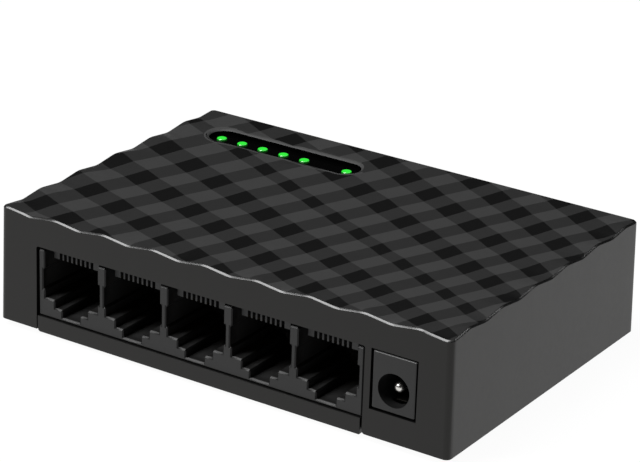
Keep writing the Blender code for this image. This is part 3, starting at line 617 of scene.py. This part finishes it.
def cut_openings(shell):
    """The hollow inside, the notch for the sockets, the window for the jack and the indicator slot."""
    before, behind = FRONT - 5 * MM, FRONT + WALL + MM
    cut_box(shell, (WALL - SIDE, FRONT + WALL, -1), (SIDE - WALL, BACK - WALL, TOP_Z - TOP_WALL))
    low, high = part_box("rj45_housing")
    left, right = low.x - NOTCH_LEFT_GAP, high.x + NOTCH_RIGHT_GAP
    cut_box(shell, (left, before, -1), (right, behind, high.z + NOTCH_TOP_GAP), NOTCH_TOP_CORNER)
    cut_notch_corner(shell, right)
    low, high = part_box("dc_jack_housing")
    bottom = high.z - JACK_HEIGHT - JACK_GAP
    cut_box(shell, (low.x - JACK_GAP, before, bottom), (high.x + JACK_GAP, behind, high.z + JACK_GAP))
    seat = (SLOT_FLOOR - 0.6 * MM, SLOT_RADIUS), (SLOT_FLOOR, SLOT_RADIUS)
    cut(shell, pill_cutter(LED_FIRST, LED_LAST, seat))
    rings = [(SLOT_STEP + rise * MM, SLOT_RADIUS + reach * MM) for rise, reach in SLOT_WALL]
    rings.insert(0, (SLOT_FLOOR - 0.1 * MM, SLOT_RADIUS))
    cut(shell, pill_cutter(SLOT_LEFT, SLOT_RIGHT, rings))


def surface_of(face):
    """The number of a face's material on the cover."""
    top, side, slot_wall, window_side, edge = range(5)
    at = face.calc_center_median()
    nearest = Vector((min(max(at.x, SLOT_LEFT), SLOT_RIGHT), LED_Y))
    in_slot = (at.xy - nearest).length < SLOT_RADIUS + SLOT_WALL_WIDTH and at.z > SLOT_FLOOR - 0.5 * MM
    if in_slot and face.normal.z < 0.97:
        return window_side if at.z < SLOT_STEP else slot_wall
    if at.z < TOP_Z - 1.5 * MM or face.normal.z < 0.05:
        return side
    return top if inside_by(at.x, at.y) > EDGE_WIDTH else edge


def cover():
    shell = cover_solid()
    cut_openings(shell)
    shell.data.materials.clear()
    for mat in (top_material(), ABS, MATTE, GLOSS, EDGE):
        shell.data.materials.append(mat)
    bm = bmesh.new()
    bm.from_mesh(shell.data)
    for face in bm.faces:
        face.smooth = True
        face.material_index = surface_of(face)
    for edge in bm.edges:
        if len(edge.link_faces) != 2:
            continue
        at = (edge.verts[0].co + edge.verts[1].co) / 2
        flat = all(face.material_index == 0 for face in edge.link_faces)
        edge.smooth = edge.calc_face_angle() < SMOOTH_ANGLE and not (flat and on_ridge(at.x, at.y))
    bm.to_mesh(shell.data)
    bm.free()
    shell.modifiers.new("flat_faces_first", "WEIGHTED_NORMAL").keep_sharp = True
    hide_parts("top_cover")
    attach(shell, "switch")


def smooth_shading():
    """A modifier's node group: it drops the loaded normals and smooths all but the sharp edges."""
    group = bpy.data.node_groups.new("smooth_shading", "GeometryNodeTree")
    for direction in ("INPUT", "OUTPUT"):
        group.interface.new_socket("Geometry", in_out=direction, socket_type="NodeSocketGeometry")
    add, join = group.nodes.new, group.links.new
    start, end = add("NodeGroupInput"), add("NodeGroupOutput")
    plain = add("GeometryNodeRemoveAttribute")
    faces, edges = add("GeometryNodeSetShadeSmooth"), add("GeometryNodeSetShadeSmooth")
    plain.inputs["Name"].default_value = "custom_normal"
    edges.domain = "EDGE"
    angle, compare = add("GeometryNodeInputMeshEdgeAngle"), add("FunctionNodeCompare")
    compare.operation = "LESS_THAN"
    compare.inputs["B"].default_value = SMOOTH_ANGLE
    join(angle.outputs["Unsigned Angle"], compare.inputs["A"])
    join(compare.outputs["Result"], edges.inputs["Shade Smooth"])
    for before, after in ((start, plain), (plain, faces), (faces, edges), (edges, end)):
        join(before.outputs["Geometry"], after.inputs["Geometry"])
    return group


def dress(name, mat, bevel=0.0, segments=2):
    """Gives a CAD node its finished material, and bevels its edges."""
    obj = nodes[name]
    obj.data.materials.clear()
    for each in (mat, PBT_EDGE) if mat in (PBT, SOCKET) else (mat,):
        obj.data.materials.append(each)
    obj.modifiers.new("join_faces", "WELD").merge_threshold = 0.001 * MM
    flatten = obj.modifiers.new("join_flat_faces", "DECIMATE")
    flatten.decimate_type = "DISSOLVE"
    flatten.angle_limit = math.radians(0.6)
    if bevel:
        edges = obj.modifiers.new("rounded_edges", "BEVEL")
        edges.width = bevel
        edges.segments = segments
        edges.limit_method = "ANGLE"
        edges.angle_limit = BEVEL_ANGLE
        edges.use_clamp_overlap = False
        edges.material = len(obj.data.materials) - 1
    obj.modifiers.new("smooth", "NODES").node_group = SMOOTH
    obj.modifiers.new("flat_faces_first", "WEIGHTED_NORMAL").keep_sharp = True


# ---- studio ----


def world():
    made = bpy.data.worlds.new("studio")
    bpy.context.scene.world = made
    made.use_nodes = True
    made.node_tree.nodes["Background"].inputs["Color"].default_value = (0.02, 0.02, 0.02, 1)


def area_light(name, direction, distance, size, power):
    data = bpy.data.lights.new(name, "AREA")
    data.shape = "RECTANGLE"
    data.size, data.size_y = size
    data.energy = power
    lamp = link(bpy.data.objects.new(name, data))
    direction = Vector(direction).normalized()
    lamp.location = direction * distance
    lamp.rotation_euler = direction.to_track_quat("Z", "Y").to_euler()


def studio():
    world()
    bpy.ops.mesh.primitive_plane_add(size=12)
    floor = bpy.context.object
    floor.name = "floor"
    mat = Material("floor_white", 0.9, specular=0.0, colour=(0.04, 0.04, 0.04))
    mat.set("Emission Color", (1, 1, 1, 1))
    mat.set("Emission Strength", 0.96)
    floor.data.materials.append(mat.made)
    area_light("key", (-0.36, -0.44, 0.82), 1.5, (0.6, 1.5), 42)
    area_light("overhead", (0.1, 0.1, 1), 1.6, (1.6, 1.6), 8)
    area_light("rim", (0.5, 0.62, 0.6), 1.0, (0.1, 0.1), 0.4)
    scene = bpy.context.scene
    scene.view_settings.view_transform = "Standard"


SMOOTH = smooth_shading()
ABS = moulded("black_abs", 0.003, 0.35, specular=0.32, tint=(1.0, 0.985, 0.955))
EDGE = moulded("black_abs_edge", 0.003, 0.28, specular=0.5, strength=0.03)
MATTE = moulded("black_abs_matte", 0.032, 0.6, specular=0.35)
PBT = moulded("socket_pbt", 0.004, 0.4, specular=0.42)
PBT_EDGE = moulded("socket_pbt_edge", 0.003, 0.42, specular=0.22, strength=0.03)
# The socket plastics carry a painted highlight behind their front edges and painted shade inside.
SOCKET = socket_plastic("socket_pbt_block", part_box("rj45_housing")[0].y)
JACK_LOW, JACK_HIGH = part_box("dc_jack_housing")
JACK = socket_plastic("socket_pbt_jack", JACK_LOW.y, JACK_HIGH.z - MM)
EPOXY = moulded("chip_epoxy", 0.015, 0.5, scale=3500.0, strength=0.4)
RUBBER = moulded("foot_rubber", 0.012, 0.8, specular=0.3, scale=2500.0, strength=0.5)
GLOSS = moulded("window_black", 0.0005, 0.2, specular=0.03, scale=400.0, strength=0.02)
GOLD = metal("contact_gold", (0.6, 0.42, 0.17), (0.35, 0.22, 0.1), 0.25, "y")
NICKEL = metal("nickel", (0.7, 0.69, 0.66), (0.5, 0.48, 0.45), 0.2, "y")
# painted shade: the jack's spring metal is coloured near black because it sits in shade inside the bore
SHADED_SPRING_METAL = metal("sprung_bronze_painted_shade", (0.014, 0.013, 0.012), (0.008, 0.007, 0.006), 0.45, "y")
STEEL = metal("screw_zinc", (0.55, 0.55, 0.57), (0.35, 0.35, 0.38), 0.32)

FINISHES = {
    "base_plate": (ABS, 0.1 * MM),
    "rj45_housing": (SOCKET, 0.21 * MM, 1),
    "dc_jack_housing": (JACK, 0.05 * MM),
    "dc_jack_spring": (SHADED_SPRING_METAL, 0.05 * MM),
    "port_": (PBT, 0.05 * MM),
    "dc_jack": (NICKEL, 0.05 * MM),
    "crystal": (NICKEL, 0.1 * MM),
    "case_screw": (STEEL, 0.1 * MM),
    "rubber_foot": (RUBBER, 0.1 * MM),
    "rating_label": (blank_label(*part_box("rating_label")), 0.05 * MM),
    "led_window": (GLOSS,),
    "light_guide": (lit_green(), 0.32 * MM, 6),
    "led_": (led_body(), 0.05 * MM),
    "capacitor": (capacitor_sleeve(), 0.2 * MM),
    "circuit_board": (circuit_green(), 0.05 * MM),
}

camera()
studio()
cover()
for node in nodes:
    if node.endswith("contacts"):
        dress(node, GOLD)
    elif node != "top_cover":
        found = [finish for start, finish in FINISHES.items() if node.startswith(start)]
        dress(node, *(found[0] if found else (EPOXY, 0.05 * MM)))
